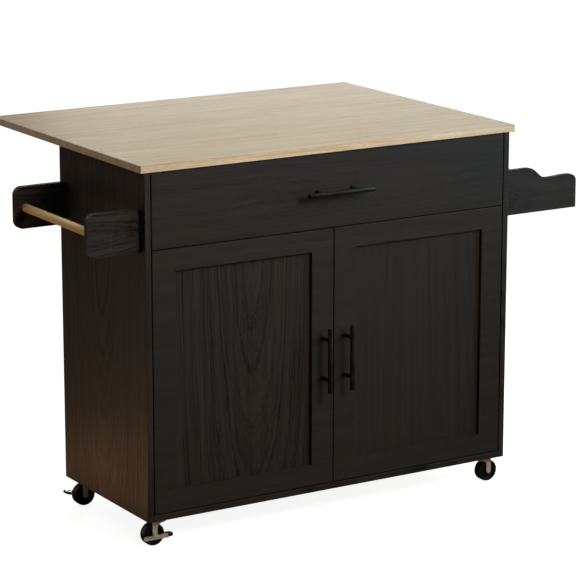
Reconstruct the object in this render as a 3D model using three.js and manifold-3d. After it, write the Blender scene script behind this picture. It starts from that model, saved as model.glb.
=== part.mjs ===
// A drop leaf kitchen island on casters, in millimetres.
//
// X runs to the right along the front from the cabinet's left side, Y runs back from
// the cabinet's front and Z runs up from its underside. At the end the whole island is
// moved so that the origin lies on the floor, under the middle of its outline.
// The leaf is raised, the doors and the drawer are shut.

import * as THREE from 'three';
import { ConvexGeometry } from 'three/addons/geometries/ConvexGeometry.js';
import { mergeVertices } from 'three/addons/utils/BufferGeometryUtils.js';
import Module from 'manifold-3d';

// ---- cabinet ----
const CABINET_WIDTH = 1000;
const CABINET_DEPTH = 420;
const CABINET_HEIGHT = 817;
const BOARD_THICKNESS = 15;
const FRONT_THICKNESS = 18; // drawer front and door frames
const REVEAL = 2.5; // gap all round the doors and the drawer front
const FRONT_CLEARANCE = 2; // from the back of the fronts to what lies behind them
const RAIL_DEPTH = 60;
const SHELF_HEIGHT = 320;
const SHELF_FRONT_CLEARANCE = 1; // behind the hinge cups' plates
const BOARD_CHAMFER = 0.8;

// ---- tabletop ----
const TOP_THICKNESS = 17;
const TOP_SIDE_OVERHANG = 12;
const TOP_FRONT_OVERHANG = 6;
const TOP_CHAMFER = 1;
const LEAF_DEPTH = 323;
const LEAF_GAP = 1;

// ---- drawer ----
const DRAWER_FRONT_HEIGHT = 176;
const DRAWER_BACK_CLEARANCE = 17; // from the drawer box to the cabinet's back
const DRAWER_TOP_CLEARANCE = 31; // from the drawer box to the top rail
const DRAWER_SIDE_THICKNESS = 12;
const DRAWER_BOTTOM_THICKNESS = 5;
const DRAWER_BOTTOM_RAISE = 8;
const DRAWER_BASE_CLEARANCE = 8; // from the divider rail to the drawer box
const SLIDE_THICKNESS = 12.7; // cabinet side to drawer side
const SLIDE_HEIGHT = 45;
const SLIDE_END_CLEARANCE = 18; // from the slides to the drawer box's back
const SLIDE_SHEET = 1.2;
const SLIDE_BALL_GAP = 3.4; // room for the balls between the two members
const SLIDE_SIDE_GAP = 2; // from one member's flange ends to the other member's web

// ---- doors ----
const STILE_WIDTH = 59;
const RAIL_WIDTH = 51;
const PANEL_RECESS = 10; // from the frame's face to the panel's face
const PANEL_THICKNESS = 5;
const RABBET_WIDTH = 9; // the panel's lap behind the frame
const PANEL_FIT = 0.3;
const HINGE_AXIS_INSET = 6; // from the door's outer edge
const HINGE_END_DISTANCE = 95; // from the door's top and bottom to a hinge
const CUP_DIAMETER = 35;
const CUP_DEPTH = 11.5;
const CUP_EDGE_MARGIN = 4.5; // from the door's outer edge to the cup
const CUP_FIT = 0.3;
const CUP_FLANGE = 1.2;
const CUP_PLATE_WIDTH = 24;
const CUP_PLATE_HEIGHT = 62;
const HINGE_ARM_WIDTH = 14;
const HINGE_ARM_LENGTH = 76;
const HINGE_ARM_BASE = 9;
const HINGE_HEAD_REACH = 27; // from the cabinet side to the head's inner face
const HINGE_HEAD_WIDTH = 12;
const HINGE_HEAD_LENGTH = 22;
const HINGE_NECK_LENGTH = 33; // from the head's front to where the arm is thin

// ---- bar pulls ----
const PULL_DIAMETER = 12;
const PULL_POST_DIAMETER = 9;
const PULL_STANDOFF = 35; // from the front's face to the bar's centre
const PULL_POST_SPACING = 96;
const DOOR_PULL_LENGTH = 156;
const DRAWER_PULL_LENGTH = 180;

// ---- towel rack, on the left side ----
const FITTING_SETBACK = 20; // both racks, from the cabinet's front and back
const TOWEL_REACH = 134;
const TOWEL_PLATE_HEIGHT = 100;
const TOWEL_PLATE_THICKNESS = 15;
const TOWEL_PLATE_TOP_DROP = 85; // from the top's underside
const TOWEL_CORNER_RADIUS = 20;
const TOWEL_BAR_DIAMETER = 20;
const TOWEL_BAR_INSET = 26; // from the plates' outer edge to the bar's axis
const TOWEL_SOCKET_DEPTH = 6;
const SOCKET_FIT = 0.3;

// ---- spice rack, on the right side ----
const SPICE_REACH = 220;
const SPICE_BOARD = 12;
const SPICE_BASE_DROP = 212; // from the top's underside to the rack's underside
const SPICE_CREST_HEIGHT = 112;
const SPICE_CREST_INSET = 150; // from the rack's outer edge to the end board's crest
const SPICE_DIP_HEIGHT = 82.5;
const SPICE_DIP_INSET = 87;
const SPICE_HUMP_HEIGHT = 85;
const SPICE_HUMP_INSET = 26;
const SPICE_CORNER_DROP = 20; // from the hump down to the outer edge's straight part
const SPICE_RAIL_DROP = 15; // from the corner's start down to the rail

// ---- folding leaf brackets ----
const BRACKET_INSET = 250; // from the cabinet's sides to the brackets' middles
const PIVOT_SETBACK = 10; // behind the cabinet's back
const PIVOT_DROP = 10; // below the leaf's underside
const LEAF_EDGE_LEAD = 4; // from the pivot's axis back to the leaf's front edge
const LEAF_ARM_INSET = 23; // from the leaf's back edge to the leaf arms
const BRACKET_SHEET = 2;
const BRACKET_TURN_CLEARANCE = 2; // round the pivot's end of each arm
const STRUT_WIDTH = 14;
const STRUT_EYE_RADIUS = 5.5;
const BRACKET_SIDE_CLEARANCE = 2; // strut to leaf arm
const CHANNEL_SIDE_CLEARANCE = 1; // leaf arm to wall arm
const WALL_ARM_TAIL = 4; // below the folded strut's roller
const PIN_DIAMETER = 6;
const PIN_CLEARANCE = 0.4;
const ROLLER_DIAMETER = 8;
const ROLLER_CLEARANCE = 6; // from the leaf arm's end to the folded strut's roller
const RIVET_HEAD_DIAMETER = 10;
const RIVET_HEAD_THICKNESS = 1.5;

// ---- how many flats a rod has ----
const ROD_SIDES = 12;
const BAR_SIDES = 20; // the rods that show, and the cups
const ARC_STEPS = 5;
const WAVE_STEPS = 8; // along each curve of the spice rack's ends

// ---- casters ----
const CASTER_INSET_X = 40; // from the cabinet's sides to the swivel axes
const CASTER_INSET_Y = 36; // from the cabinet's front and back
const CASTER_TRAIL = 12;
const WHEEL_DIAMETER = 54;
const WHEEL_WIDTH = 20;
const WHEEL_HUB_DIAMETER = 18;
const WHEEL_HUB_PROUD = 1.2;
const WHEEL_RIM_WIDTH = 7;
const WHEEL_FACE_RECESS = 2;
const WHEEL_SHOULDER = 1.6;
const WHEEL_FACE_STEP = 1; // how far a step in the wheel's face slopes
const WHEEL_SIDES = 24;
const WHEEL_TOP_CLEARANCE = 3.7; // from the tread to the fork's head
const CASTER_PLATE_SIZE = 38;
const CASTER_PLATE_THICKNESS = 2.2;
const CASTER_PLATE_CORNER = 4;
const RACEWAY_DIAMETER = 26;
const RACEWAY_HEIGHT = 3.2;
const SWIVEL_GAP = 0.5;
const FORK_SHEET = 2.4;
const FORK_HEAD_DIAMETER = 32;
const FORK_SKIRT = 2; // how far the fork's sides reach below its head in front of the legs
const FORK_FLARE_HEIGHT = 15; // from there down to where a leg has its least width
const FORK_SIDE_CLEARANCE = 0.8; // from the wheel's hub to the fork's legs
const FORK_FOOT_RADIUS = 6.2;
const KINGPIN_DIAMETER = 7;
const KINGPIN_HEAD_DIAMETER = 11;
const AXLE_DIAMETER = 6;
const AXLE_HEAD_DIAMETER = 9;
const AXLE_HEAD_THICKNESS = 1.4;
const AXLE_CLEARANCE = 0.4;
const LEVER_SHEET = 2;
const LEVER_GAP = 0.5;
const LEVER_HEIGHT = 10;
const LEVER_BACK = 25; // from the axle to the lever's plain end
const LEVER_DROP = 5.5; // from the axle down to the lever's middle
const LEVER_EYE_DIAMETER = 13;
const LEVER_LIFT_DEGREES = 20; // from a pressed brake to a released one
const PEDAL_CLEARANCE = 2; // from the wheel to the pedal
const PEDAL_LENGTH = 18;
const PEDAL_WIDTH = 18;
const PEDAL_THICKNESS = 5;
const PEDAL_CORNER = 5; // cut off the pedal's two outer corners

// ---- places worked out from the sizes above ----
const INSIDE_LEFT = BOARD_THICKNESS;
const INSIDE_RIGHT = CABINET_WIDTH - BOARD_THICKNESS;
const INSIDE_WIDTH = INSIDE_RIGHT - INSIDE_LEFT;
const INSIDE_BACK = CABINET_DEPTH - BOARD_THICKNESS;
const BEHIND_FRONTS = FRONT_THICKNESS + FRONT_CLEARANCE;
const DRAWER_FRONT_TOP = CABINET_HEIGHT - REVEAL;
const DRAWER_FRONT_BOTTOM = DRAWER_FRONT_TOP - DRAWER_FRONT_HEIGHT;
const DOOR_BOTTOM = BOARD_THICKNESS + REVEAL;
const DOOR_TOP = DRAWER_FRONT_BOTTOM - REVEAL;
const DOOR_HEIGHT = DOOR_TOP - DOOR_BOTTOM;
const DOOR_WIDTH = (INSIDE_WIDTH - 3 * REVEAL) / 2;
const DIVIDER_BOTTOM = DRAWER_FRONT_BOTTOM - REVEAL / 2 - BOARD_THICKNESS / 2;
const TOP_RAIL_BOTTOM = CABINET_HEIGHT - BOARD_THICKNESS;
const DRAWER_BOX_BOTTOM = DIVIDER_BOTTOM + BOARD_THICKNESS + DRAWER_BASE_CLEARANCE;
const DRAWER_SIDE_HEIGHT = TOP_RAIL_BOTTOM - DRAWER_TOP_CLEARANCE - DRAWER_BOX_BOTTOM;
const DRAWER_BOX_DEPTH = INSIDE_BACK - DRAWER_BACK_CLEARANCE - FRONT_THICKNESS;
const SLIDE_LENGTH = FRONT_THICKNESS + DRAWER_BOX_DEPTH - SLIDE_END_CLEARANCE - BEHIND_FRONTS;
const CUP_EDGE_DISTANCE = CUP_EDGE_MARGIN + CUP_DIAMETER / 2;
const TOP_WIDTH = CABINET_WIDTH + 2 * TOP_SIDE_OVERHANG;
const PIVOT_Y = CABINET_DEPTH + PIVOT_SETBACK;
const PIVOT_Z = CABINET_HEIGHT - PIVOT_DROP;
const LEAF_FRONT = PIVOT_Y + LEAF_EDGE_LEAD;
const LEAF_BACK = LEAF_FRONT + LEAF_DEPTH;
const MAIN_TOP_DEPTH = TOP_FRONT_OVERHANG + LEAF_FRONT - LEAF_GAP;
const FORK_TOP = -(CASTER_PLATE_THICKNESS + RACEWAY_HEIGHT + SWIVEL_GAP);
const AXLE_Z = FORK_TOP - FORK_SHEET - WHEEL_TOP_CLEARANCE - WHEEL_DIAMETER / 2;
const CASTER_HEIGHT = WHEEL_DIAMETER / 2 - AXLE_Z;
const LEVER_LIFT = (LEVER_LIFT_DEGREES * Math.PI) / 180;

const wasm = await Module();
wasm.setup();

// ---- materials ----
function material(color, roughness, metalness) {
  return new THREE.MeshStandardMaterial({ color, roughness, metalness });
}

const blackWood = material(0x2b2a29, 0.62, 0);
const oakTop = material(0xc4b396, 0.5, 0);
const birchBar = material(0xc29e6c, 0.55, 0);
const drawerBoard = material(0x8f8a82, 0.7, 0);
const blackMetal = material(0x17140f, 0.38, 0.8);
const zincSteel = material(0xa9a6a0, 0.35, 0.9);
const blackTyre = material(0x121212, 0.5, 0);

// ---- solids ----
const AXIS_BASES = {
  x: [new THREE.Vector3(0, 1, 0), new THREE.Vector3(0, 0, 1), new THREE.Vector3(1, 0, 0)],
  y: [new THREE.Vector3(0, 0, 1), new THREE.Vector3(1, 0, 0), new THREE.Vector3(0, 1, 0)],
  z: [new THREE.Vector3(1, 0, 0), new THREE.Vector3(0, 1, 0), new THREE.Vector3(0, 0, 1)],
};

// An outline swept along an axis, from one place on that axis to another.
// The outline's own axes are Y, Z along x; Z, X along y; and X, Y along z.
function sweep(outline, axis, from, to) {
  const geometry = new THREE.ExtrudeGeometry(outline, {
    depth: to - from,
    bevelEnabled: false,
    curveSegments: ARC_STEPS,
  });
  geometry.translate(0, 0, from);
  return geometry.applyMatrix4(new THREE.Matrix4().makeBasis(...AXIS_BASES[axis]));
}

// A round rod along an axis, through a point of the plane across that axis.
function rod(axis, radius, from, to, [a, b] = [0, 0], sides = ROD_SIDES) {
  const circle = new THREE.Shape();
  for (let i = 0; i < sides; i += 1) {
    const turn = (2 * Math.PI * i) / sides;
    const u = a + radius * Math.cos(turn);
    const v = b + radius * Math.sin(turn);
    if (i === 0) circle.moveTo(u, v);
    else circle.lineTo(u, v);
  }
  return sweep(circle, axis, from, to);
}

function plainBox([x0, x1], [y0, y1], [z0, z1]) {
  const geometry = new THREE.BoxGeometry(x1 - x0, y1 - y0, z1 - z0);
  return geometry.translate((x0 + x1) / 2, (y0 + y1) / 2, (z0 + z1) / 2);
}

function polygon(points) {
  return new THREE.Shape(points.map(([u, v]) => new THREE.Vector2(u, v)));
}

function asSolid(geometry) {
  const bare = geometry.clone();
  bare.deleteAttribute('normal');
  bare.deleteAttribute('uv');
  const merged = mergeVertices(bare, 1e-4);
  return new wasm.Manifold(
    new wasm.Mesh({
      numProp: 3,
      vertProperties: new Float32Array(merged.attributes.position.array),
      triVerts: new Uint32Array(merged.index.array),
    }),
  );
}

function asGeometry(solid) {
  const mesh = solid.getMesh();
  const geometry = new THREE.BufferGeometry();
  geometry.setAttribute('position', new THREE.BufferAttribute(mesh.vertProperties, 3));
  geometry.setIndex(new THREE.BufferAttribute(mesh.triVerts, 1));
  return geometry;
}

// The pieces joined into one solid, less the cuts.
function joined(pieces, cuts = []) {
  let solid = asSolid(pieces[0]);
  for (const piece of pieces.slice(1)) solid = solid.add(asSolid(piece));
  for (const cut of cuts) solid = solid.subtract(asSolid(cut));
  return asGeometry(solid);
}

function place(parent, name, geometry, finish, [x, y, z] = [0, 0, 0]) {
  const mesh = new THREE.Mesh(geometry, finish);
  mesh.name = name;
  mesh.position.set(x, y, z);
  parent.add(mesh);
  return mesh;
}

function groupAt(parent, [x, y, z]) {
  const group = new THREE.Group();
  group.position.set(x, y, z);
  parent.add(group);
  return group;
}

// A sawn board with its edges eased.
function boardGeometry([width, depth, height], chamfer = BOARD_CHAMFER) {
  const corners = [];
  for (const [x, sx] of [[0, 1], [width, -1]]) {
    for (const [y, sy] of [[0, 1], [depth, -1]]) {
      for (const [z, sz] of [[0, 1], [height, -1]]) {
        corners.push(new THREE.Vector3(x, y + sy * chamfer, z + sz * chamfer));
        corners.push(new THREE.Vector3(x + sx * chamfer, y, z + sz * chamfer));
        corners.push(new THREE.Vector3(x + sx * chamfer, y + sy * chamfer, z));
      }
    }
  }
  return new ConvexGeometry(corners);
}

function board(parent, name, finish, size, low, chamfer) {
  return place(parent, name, boardGeometry(size, chamfer), finish, low);
}

// ---- cabinet ----
function addCabinet(parent) {
  const sideSize = [BOARD_THICKNESS, CABINET_DEPTH, CABINET_HEIGHT];
  board(parent, 'side_panel_left', blackWood, sideSize, [0, 0, 0]);
  board(parent, 'side_panel_right', blackWood, sideSize, [INSIDE_RIGHT, 0, 0]);
  board(parent, 'bottom_panel', blackWood, [INSIDE_WIDTH, INSIDE_BACK, BOARD_THICKNESS],
    [INSIDE_LEFT, 0, 0]);
  board(parent, 'back_panel', blackWood, [INSIDE_WIDTH, BOARD_THICKNESS, CABINET_HEIGHT],
    [INSIDE_LEFT, INSIDE_BACK, 0]);
  const railSize = [INSIDE_WIDTH, RAIL_DEPTH, BOARD_THICKNESS];
  board(parent, 'divider_rail', blackWood, railSize, [INSIDE_LEFT, BEHIND_FRONTS, DIVIDER_BOTTOM]);
  board(parent, 'top_rail_front', blackWood, railSize,
    [INSIDE_LEFT, BEHIND_FRONTS, TOP_RAIL_BOTTOM]);
  const shelfFront = BEHIND_FRONTS + CUP_FLANGE + SHELF_FRONT_CLEARANCE;
  board(parent, 'shelf', blackWood, [INSIDE_WIDTH, INSIDE_BACK - shelfFront, BOARD_THICKNESS],
    [INSIDE_LEFT, shelfFront, SHELF_HEIGHT]);
  board(parent, 'tabletop_main', oakTop, [TOP_WIDTH, MAIN_TOP_DEPTH, TOP_THICKNESS],
    [-TOP_SIDE_OVERHANG, -TOP_FRONT_OVERHANG, CABINET_HEIGHT], TOP_CHAMFER);
}

// ---- bar pulls ----
// A round bar on two posts. The bar runs along an axis, x or z, and stands off the
// plane y = 0 towards the front.
function pullGeometry(length, axis) {
  const bar = axis === 'x'
    ? rod('x', PULL_DIAMETER / 2, -length / 2, length / 2, [-PULL_STANDOFF, 0], BAR_SIDES)
    : rod('z', PULL_DIAMETER / 2, -length / 2, length / 2, [0, -PULL_STANDOFF], BAR_SIDES);
  const posts = [-1, 1].map((side) => {
    const along = (side * PULL_POST_SPACING) / 2;
    const centre = axis === 'x' ? [0, along] : [along, 0];
    return rod('y', PULL_POST_DIAMETER / 2, -PULL_STANDOFF, 0, centre);
  });
  return joined([bar, ...posts]);
}

// ---- drawer ----
// A C-shaped runner along Y. Its web is on the plane x = 0 and it opens towards +X.
function channelGeometry(height, width, length) {
  const half = height / 2;
  const inner = half - SLIDE_SHEET;
  // Outline axes along y are Z then X.
  const outline = polygon([
    [-half, 0], [half, 0], [half, width], [inner, width],
    [inner, SLIDE_SHEET], [-inner, SLIDE_SHEET], [-inner, width], [-half, width],
  ]);
  return sweep(outline, 'y', 0, length);
}

function addDrawer(parent) {
  const sideLeft = INSIDE_LEFT + SLIDE_THICKNESS;
  const sideRight = INSIDE_RIGHT - SLIDE_THICKNESS - DRAWER_SIDE_THICKNESS;
  const boxLeft = sideLeft + DRAWER_SIDE_THICKNESS;
  const boxWidth = sideRight - boxLeft;
  const insideDepth = DRAWER_BOX_DEPTH - DRAWER_SIDE_THICKNESS;
  const drawer = groupAt(parent, [0, 0, 0]);

  board(drawer, 'drawer_front', blackWood,
    [INSIDE_WIDTH - 2 * REVEAL, FRONT_THICKNESS, DRAWER_FRONT_HEIGHT],
    [INSIDE_LEFT + REVEAL, 0, DRAWER_FRONT_BOTTOM]);
  const sideSize = [DRAWER_SIDE_THICKNESS, DRAWER_BOX_DEPTH, DRAWER_SIDE_HEIGHT];
  board(drawer, 'drawer_side_left', drawerBoard, sideSize, [sideLeft, FRONT_THICKNESS, DRAWER_BOX_BOTTOM]);
  board(drawer, 'drawer_side_right', drawerBoard, sideSize, [sideRight, FRONT_THICKNESS, DRAWER_BOX_BOTTOM]);
  board(drawer, 'drawer_back', drawerBoard, [boxWidth, DRAWER_SIDE_THICKNESS, DRAWER_SIDE_HEIGHT],
    [boxLeft, FRONT_THICKNESS + insideDepth, DRAWER_BOX_BOTTOM]);
  board(drawer, 'drawer_bottom', drawerBoard, [boxWidth, insideDepth, DRAWER_BOTTOM_THICKNESS],
    [boxLeft, FRONT_THICKNESS, DRAWER_BOX_BOTTOM + DRAWER_BOTTOM_RAISE]);
  place(drawer, 'drawer_handle', pullGeometry(DRAWER_PULL_LENGTH, 'x'), blackMetal,
    [CABINET_WIDTH / 2, 0, DRAWER_FRONT_BOTTOM + DRAWER_FRONT_HEIGHT / 2]);

  const slideZ = DRAWER_BOX_BOTTOM + DRAWER_SIDE_HEIGHT / 2;
  const slideY = BEHIND_FRONTS;
  const outerWidth = SLIDE_THICKNESS - SLIDE_SHEET - SLIDE_SIDE_GAP;
  const outer = channelGeometry(SLIDE_HEIGHT, outerWidth, SLIDE_LENGTH);
  const innerHeight = SLIDE_HEIGHT - 2 * SLIDE_SHEET - 2 * SLIDE_BALL_GAP;
  const inner = channelGeometry(innerHeight, outerWidth, SLIDE_LENGTH);
  for (const [side, wall, facing] of [['left', INSIDE_LEFT, 1], ['right', INSIDE_RIGHT, -1]]) {
    const fixed = place(parent, `drawer_slide_outer_${side}`, outer, zincSteel, [wall, slideY, slideZ]);
    const moving = place(drawer, `drawer_slide_inner_${side}`, inner, zincSteel,
      [wall + facing * SLIDE_THICKNESS, slideY, slideZ]);
    // Each member is turned about Y to open towards the other one. Half a turn maps
    // its profile onto its own mirror image, because the profile is symmetrical in Z.
    fixed.rotation.y = facing > 0 ? 0 : Math.PI;
    moving.rotation.y = facing > 0 ? Math.PI : 0;
  }
}

// ---- doors ----
// Everything of a door is built with its hinge axis at x = 0, y = 0 and its bottom at
// z = 0. The door reaches towards +X for the left door and -X for the right one.
function doorSpan(facing, near, far) {
  const from = facing * (near - HINGE_AXIS_INSET);
  const to = facing * (far - HINGE_AXIS_INSET);
  return from < to ? [from, to] : [to, from];
}

function doorFrameGeometry(facing) {
  const slabSize = [DOOR_WIDTH, FRONT_THICKNESS, DOOR_HEIGHT];
  const slab = boardGeometry(slabSize).translate(doorSpan(facing, 0, DOOR_WIDTH)[0], 0, 0);
  const opening = plainBox(
    doorSpan(facing, STILE_WIDTH, DOOR_WIDTH - STILE_WIDTH),
    [-FRONT_THICKNESS, 2 * FRONT_THICKNESS],
    [RAIL_WIDTH, DOOR_HEIGHT - RAIL_WIDTH],
  );
  const lap = RABBET_WIDTH;
  const rabbet = plainBox(
    doorSpan(facing, STILE_WIDTH - lap, DOOR_WIDTH - STILE_WIDTH + lap),
    [PANEL_RECESS, 2 * FRONT_THICKNESS],
    [RAIL_WIDTH - lap, DOOR_HEIGHT - RAIL_WIDTH + lap],
  );
  const cupX = facing * (CUP_EDGE_DISTANCE - HINGE_AXIS_INSET);
  const cups = hingeHeights().map((z) => rod('y', CUP_DIAMETER / 2 + CUP_FIT,
    FRONT_THICKNESS - CUP_DEPTH - CUP_FIT, 2 * FRONT_THICKNESS, [z, cupX], BAR_SIDES));
  return joined([slab], [opening, rabbet, ...cups]);
}

// Above the door's bottom.
function hingeHeights() {
  return [HINGE_END_DISTANCE, DOOR_HEIGHT - HINGE_END_DISTANCE];
}

// The cup is let into the door's back, which is the plane y = 0 here. Its plate lies on
// the door's back, and its mouth is open.
function hingeCupGeometry() {
  const radius = CUP_DIAMETER / 2;
  const cup = rod('y', radius, -CUP_DEPTH, CUP_FLANGE / 2, [0, 0], BAR_SIDES);
  const plate = plainBox([-CUP_PLATE_WIDTH / 2, CUP_PLATE_WIDTH / 2], [0, CUP_FLANGE],
    [-CUP_PLATE_HEIGHT / 2, CUP_PLATE_HEIGHT / 2]);
  const rim = rod('y', radius + CUP_FLANGE, 0, CUP_FLANGE, [0, 0], BAR_SIDES);
  const hollow = rod('y', radius - CUP_FLANGE, CUP_FLANGE - CUP_DEPTH, 2 * CUP_FLANGE, [0, 0],
    BAR_SIDES);
  return joined([cup, plate, rim], [hollow]);
}

// The arm stands on the cabinet side, which is the plane x = 0 here, and opens away
// from it towards +X. y = 0 is the cabinet's front.
function hingeArmGeometry() {
  const head = BEHIND_FRONTS + CUP_FLANGE;
  const tail = head + HINGE_ARM_LENGTH;
  const base = head + HINGE_HEAD_LENGTH / 2;
  const outline = polygon([
    [0, base], [HINGE_HEAD_REACH - HINGE_HEAD_WIDTH, head], [HINGE_HEAD_REACH, head],
    [HINGE_HEAD_REACH, head + HINGE_HEAD_LENGTH],
    [HINGE_ARM_BASE, head + HINGE_NECK_LENGTH], [HINGE_ARM_BASE, tail], [0, tail],
  ]);
  return sweep(outline, 'z', -HINGE_ARM_WIDTH / 2, HINGE_ARM_WIDTH / 2);
}

function addDoor(parent, side) {
  const facing = side === 'left' ? 1 : -1;
  const wall = side === 'left' ? INSIDE_LEFT : INSIDE_RIGHT;
  const axisX = wall + facing * (REVEAL + HINGE_AXIS_INSET);
  const door = groupAt(parent, [axisX, 0, DOOR_BOTTOM]);
  place(door, `door_frame_${side}`, doorFrameGeometry(facing), blackWood);

  const lap = RABBET_WIDTH - PANEL_FIT;
  const panelSize = [
    DOOR_WIDTH - 2 * STILE_WIDTH + 2 * lap, PANEL_THICKNESS, DOOR_HEIGHT - 2 * RAIL_WIDTH + 2 * lap,
  ];
  const panelX = doorSpan(facing, STILE_WIDTH - lap, DOOR_WIDTH - STILE_WIDTH + lap)[0];
  place(door, `door_panel_${side}`, plainBox([0, panelSize[0]], [0, panelSize[1]], [0, panelSize[2]]),
    blackWood, [panelX, PANEL_RECESS, RAIL_WIDTH - lap]);

  const pullX = facing * (DOOR_WIDTH - STILE_WIDTH / 2 - HINGE_AXIS_INSET);
  place(door, `door_handle_${side}`, pullGeometry(DOOR_PULL_LENGTH, 'z'), blackMetal,
    [pullX, 0, DOOR_HEIGHT / 2]);

  const cupX = facing * (CUP_EDGE_DISTANCE - HINGE_AXIS_INSET);
  hingeHeights().forEach((z, i) => {
    const level = i === 0 ? 'lower' : 'upper';
    place(door, `hinge_cup_${side}_${level}`, hingeCupGeometry(), zincSteel, [cupX, FRONT_THICKNESS, z]);
    const arm = place(parent, `hinge_arm_${side}_${level}`, hingeArmGeometry(), zincSteel,
      [wall, 0, DOOR_BOTTOM + z]);
    // The right arm is the left one turned half round about Y, its outline being the same
    // above and below its middle.
    arm.rotation.y = facing > 0 ? 0 : Math.PI;
  });
}

// ---- towel rack ----
function addTowelRack(parent) {
  const top = CABINET_HEIGHT - TOWEL_PLATE_TOP_DROP;
  const bottom = top - TOWEL_PLATE_HEIGHT;
  const r = TOWEL_CORNER_RADIUS;
  // Outline axes along y are Z then X.
  const outline = new THREE.Shape();
  outline.moveTo(bottom, 0);
  outline.lineTo(bottom, r - TOWEL_REACH);
  outline.absarc(bottom + r, r - TOWEL_REACH, r, Math.PI, 1.5 * Math.PI, false);
  outline.absarc(top - r, r - TOWEL_REACH, r, 1.5 * Math.PI, 2 * Math.PI, false);
  outline.lineTo(top, 0);

  const barX = TOWEL_BAR_INSET - TOWEL_REACH;
  const barZ = (top + bottom) / 2;
  const frontInner = FITTING_SETBACK + TOWEL_PLATE_THICKNESS;
  const rearInner = CABINET_DEPTH - frontInner;
  const socketRadius = TOWEL_BAR_DIAMETER / 2 + SOCKET_FIT;
  const socket = rod('y', socketRadius, frontInner - TOWEL_SOCKET_DEPTH, rearInner + TOWEL_SOCKET_DEPTH,
    [barZ, barX], BAR_SIDES);
  const frontPlate = sweep(outline, 'y', FITTING_SETBACK, frontInner);
  const rearPlate = sweep(outline, 'y', rearInner, CABINET_DEPTH - FITTING_SETBACK);
  place(parent, 'towel_bracket_front', joined([frontPlate], [socket]), blackWood);
  place(parent, 'towel_bracket_rear', joined([rearPlate], [socket]), blackWood);
  const barEnd = TOWEL_SOCKET_DEPTH - SOCKET_FIT;
  place(parent, 'towel_bar', rod('y', TOWEL_BAR_DIAMETER / 2, frontInner - barEnd, rearInner + barEnd,
    [0, 0], BAR_SIDES), birchBar, [barX, 0, barZ]);
}

// ---- spice rack ----
// The end board's outline: square at the cabinet, a crest, a shallow dip, a lower hump
// and a rounded outer corner.
function spiceEndOutline() {
  const outline = new THREE.Shape();
  const hump = SPICE_REACH - SPICE_HUMP_INSET;
  const dip = SPICE_REACH - SPICE_DIP_INSET;
  const crest = SPICE_REACH - SPICE_CREST_INSET;
  const dipToHump = (dip + hump) / 2;
  const crestToDip = (crest + dip) / 2;
  outline.moveTo(0, 0);
  outline.lineTo(SPICE_REACH, 0);
  outline.lineTo(SPICE_REACH, SPICE_HUMP_HEIGHT - SPICE_CORNER_DROP);
  outline.quadraticCurveTo(SPICE_REACH, SPICE_HUMP_HEIGHT, hump, SPICE_HUMP_HEIGHT);
  outline.bezierCurveTo(dipToHump, SPICE_HUMP_HEIGHT, dipToHump, SPICE_DIP_HEIGHT, dip, SPICE_DIP_HEIGHT);
  outline.bezierCurveTo(crestToDip, SPICE_DIP_HEIGHT, crestToDip, SPICE_CREST_HEIGHT,
    crest, SPICE_CREST_HEIGHT);
  outline.lineTo(0, SPICE_CREST_HEIGHT);
  return outline;
}

function addSpiceRack(parent) {
  const rack = groupAt(parent, [CABINET_WIDTH, 0, CABINET_HEIGHT - SPICE_BASE_DROP]);
  // The outline is drawn in X and Z, so it is swept along z and then stood up, which
  // turns the sweep towards -Y.
  const end = new THREE.ExtrudeGeometry(spiceEndOutline(), {
    depth: SPICE_BOARD,
    bevelEnabled: false,
    curveSegments: WAVE_STEPS,
  });
  end.rotateX(Math.PI / 2);
  const rear = CABINET_DEPTH - FITTING_SETBACK;
  place(rack, 'spice_end_front', end, blackWood, [0, FITTING_SETBACK + SPICE_BOARD, 0]);
  place(rack, 'spice_end_rear', end, blackWood, [0, rear, 0]);
  const insideFront = FITTING_SETBACK + SPICE_BOARD;
  const insideDepth = rear - SPICE_BOARD - insideFront;
  board(rack, 'spice_shelf', blackWood, [SPICE_REACH - SPICE_BOARD, insideDepth, SPICE_BOARD],
    [0, insideFront, 0]);
  const railHeight = SPICE_HUMP_HEIGHT - SPICE_CORNER_DROP - SPICE_RAIL_DROP;
  board(rack, 'spice_rail', blackWood, [SPICE_BOARD, insideDepth, railHeight],
    [SPICE_REACH - SPICE_BOARD, insideFront, 0]);
}

// ---- leaf and its folding brackets ----
// Bracket pieces are drawn about the leaf's pivot: x = 0 is the bracket's middle,
// y and z are measured from the pivot's axis.
// The strut's pivot on the leaf arm and the strut's foot are equally far from that axis,
// so the strut leans at 45 degrees. Folded, it lies along the leaf arm and its roller is
// just past the arm's end.
const LEAF_ARM_LENGTH = LEAF_EDGE_LEAD + LEAF_DEPTH - LEAF_ARM_INSET;
const STRUT_OFFSET = (LEAF_ARM_LENGTH + ROLLER_CLEARANCE + ROLLER_DIAMETER / 2) / (1 + Math.SQRT2);
const STRUT_LENGTH = STRUT_OFFSET * Math.SQRT2;
const WALL_ARM_REACH = PIVOT_DROP - BRACKET_TURN_CLEARANCE;
const LEAF_ARM_LIP = PIVOT_SETBACK - BRACKET_SHEET - BRACKET_TURN_CLEARANCE;
const LEAF_ARM_HALF = STRUT_WIDTH / 2 + BRACKET_SIDE_CLEARANCE + BRACKET_SHEET;
const WALL_ARM_HALF = LEAF_ARM_HALF + CHANNEL_SIDE_CLEARANCE + BRACKET_SHEET;

// A hole along the axis y = 0, z = 0 for a pin that turns in it.
function pinHole() {
  return rod('x', PIN_DIAMETER / 2 + PIN_CLEARANCE, -WALL_ARM_HALF, WALL_ARM_HALF);
}

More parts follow.
